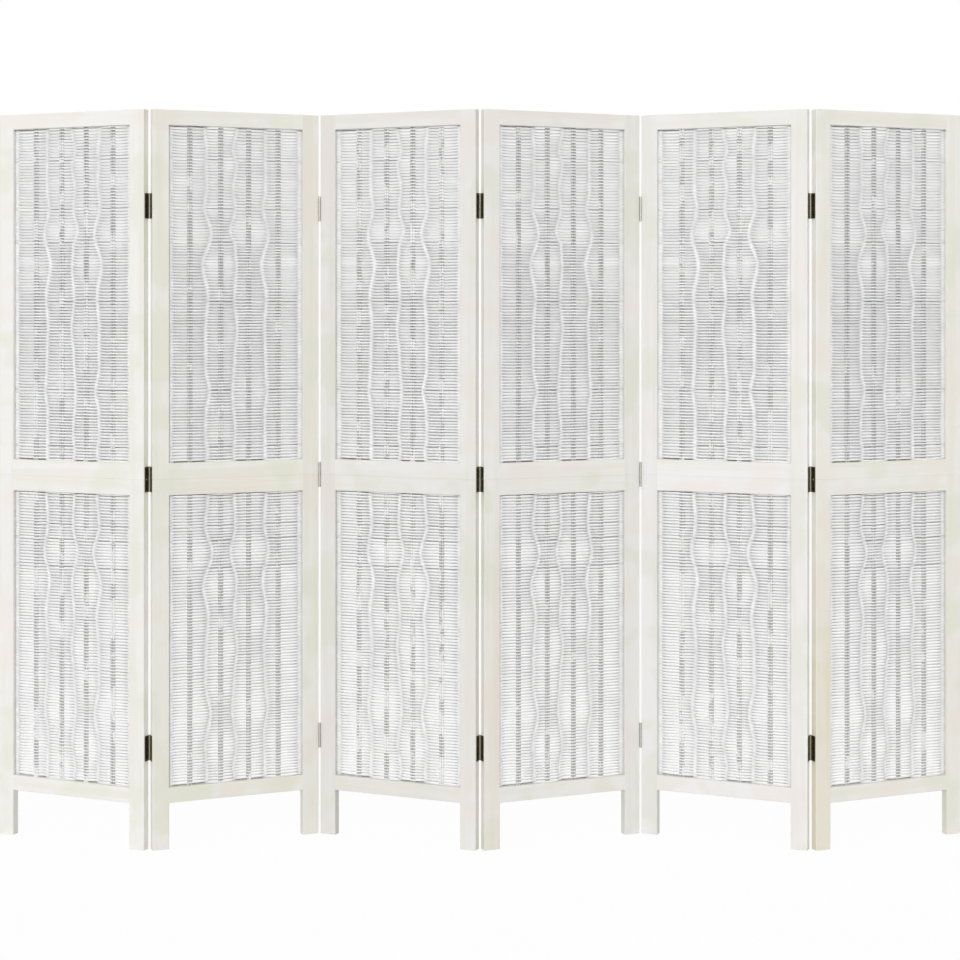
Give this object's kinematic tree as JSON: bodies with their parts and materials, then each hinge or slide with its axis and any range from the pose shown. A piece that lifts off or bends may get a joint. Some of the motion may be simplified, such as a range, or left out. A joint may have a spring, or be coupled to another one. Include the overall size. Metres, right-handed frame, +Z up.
{
  "type": "folding screen",
  "caption": "Free-standing folding room divider: painted wooden frames with woven wicker infills, joined edge to edge by butt hinges and set in a zigzag.",
  "frame": {"origin": "on the floor, under the middle of the whole zigzag", "axes": "+X along the screen from the picture's left to its right, +Y away from the viewer, +Z up"},
  "size_m": [2.2754, 0.1744, 1.7],
  "materials": {
    "ivory_paint": "satin paint on wood",
    "white_wicker": "painted woven willow",
    "dowel_wood": "bare greyed wood, painted in patches",
    "antique_bronze": "antique bronze",
    "dark_screws": "blackened"
  },
  "bodies": {
    "panel_1": {"panel_1_left_stiles": "ivory_paint", "panel_1_right_stiles": "ivory_paint", "panel_1_top_rail": "ivory_paint", "panel_1_middle_rails": "ivory_paint", "panel_1_bottom_rail": "ivory_paint", "panel_1_upper_weave": "white_wicker", "panel_1_lower_weave": "white_wicker", "panel_1_dowels": "dowel_wood", "panel_1_hinges": "antique_bronze", "panel_1_hinge_screws": "dark_screws"},
    "panel_2": {"panel_2_left_stiles": "ivory_paint", "panel_2_right_stiles": "ivory_paint", "panel_2_top_rail": "ivory_paint", "panel_2_middle_rails": "ivory_paint", "panel_2_bottom_rail": "ivory_paint", "panel_2_upper_weave": "white_wicker", "panel_2_lower_weave": "white_wicker", "panel_2_dowels": "dowel_wood", "panel_2_hinges": "antique_bronze", "panel_2_hinge_screws": "dark_screws"},
    "panel_3": {"panel_3_left_stiles": "ivory_paint", "panel_3_right_stiles": "ivory_paint", "panel_3_top_rail": "ivory_paint", "panel_3_middle_rails": "ivory_paint", "panel_3_bottom_rail": "ivory_paint", "panel_3_upper_weave": "white_wicker", "panel_3_lower_weave": "white_wicker", "panel_3_dowels": "dowel_wood", "panel_3_hinges": "antique_bronze", "panel_3_hinge_screws": "dark_screws"},
    "panel_4": {"panel_4_left_stiles": "ivory_paint", "panel_4_right_stiles": "ivory_paint", "panel_4_top_rail": "ivory_paint", "panel_4_middle_rails": "ivory_paint", "panel_4_bottom_rail": "ivory_paint", "panel_4_upper_weave": "white_wicker", "panel_4_lower_weave": "white_wicker", "panel_4_dowels": "dowel_wood", "panel_4_hinges": "antique_bronze", "panel_4_hinge_screws": "dark_screws"},
    "panel_5": {"panel_5_left_stiles": "ivory_paint", "panel_5_right_stiles": "ivory_paint", "panel_5_top_rail": "ivory_paint", "panel_5_middle_rails": "ivory_paint", "panel_5_bottom_rail": "ivory_paint", "panel_5_upper_weave": "white_wicker", "panel_5_lower_weave": "white_wicker", "panel_5_dowels": "dowel_wood", "panel_5_hinges": "antique_bronze", "panel_5_hinge_screws": "dark_screws"},
    "panel_6": {"panel_6_left_stiles": "ivory_paint", "panel_6_right_stiles": "ivory_paint", "panel_6_top_rail": "ivory_paint", "panel_6_middle_rails": "ivory_paint", "panel_6_bottom_rail": "ivory_paint", "panel_6_upper_weave": "white_wicker", "panel_6_lower_weave": "white_wicker", "panel_6_dowels": "dowel_wood", "panel_6_hinges": "antique_bronze", "panel_6_hinge_screws": "dark_screws"}
  },
  "joints": [
    {"name": "fold_3_4", "type": "hinge", "parent": "panel_3", "child": "panel_4", "pos_m": [0, -0.06748, 0.85], "axis": [0, 0, 1], "range_deg": [-46.2, 133.8]},
    {"name": "fold_2_3", "type": "hinge", "parent": "panel_3", "child": "panel_2", "pos_m": [-0.38013, 0.06748, 0.85], "axis": [0, 0, 1], "range_deg": [-46.2, 133.8]},
    {"name": "fold_1_2", "type": "hinge", "parent": "panel_2", "child": "panel_1", "pos_m": [-0.76026, -0.06748, 0.85], "axis": [0, 0, -1], "range_deg": [-46.2, 133.8]},
    {"name": "fold_4_5", "type": "hinge", "parent": "panel_4", "child": "panel_5", "pos_m": [0.38013, 0.06748, 0.85], "axis": [0, 0, -1], "range_deg": [-46.2, 133.8]},
    {"name": "fold_5_6", "type": "hinge", "parent": "panel_5", "child": "panel_6", "pos_m": [0.76026, -0.06748, 0.85], "axis": [0, 0, 1], "range_deg": [-46.2, 133.8]}
  ]
}
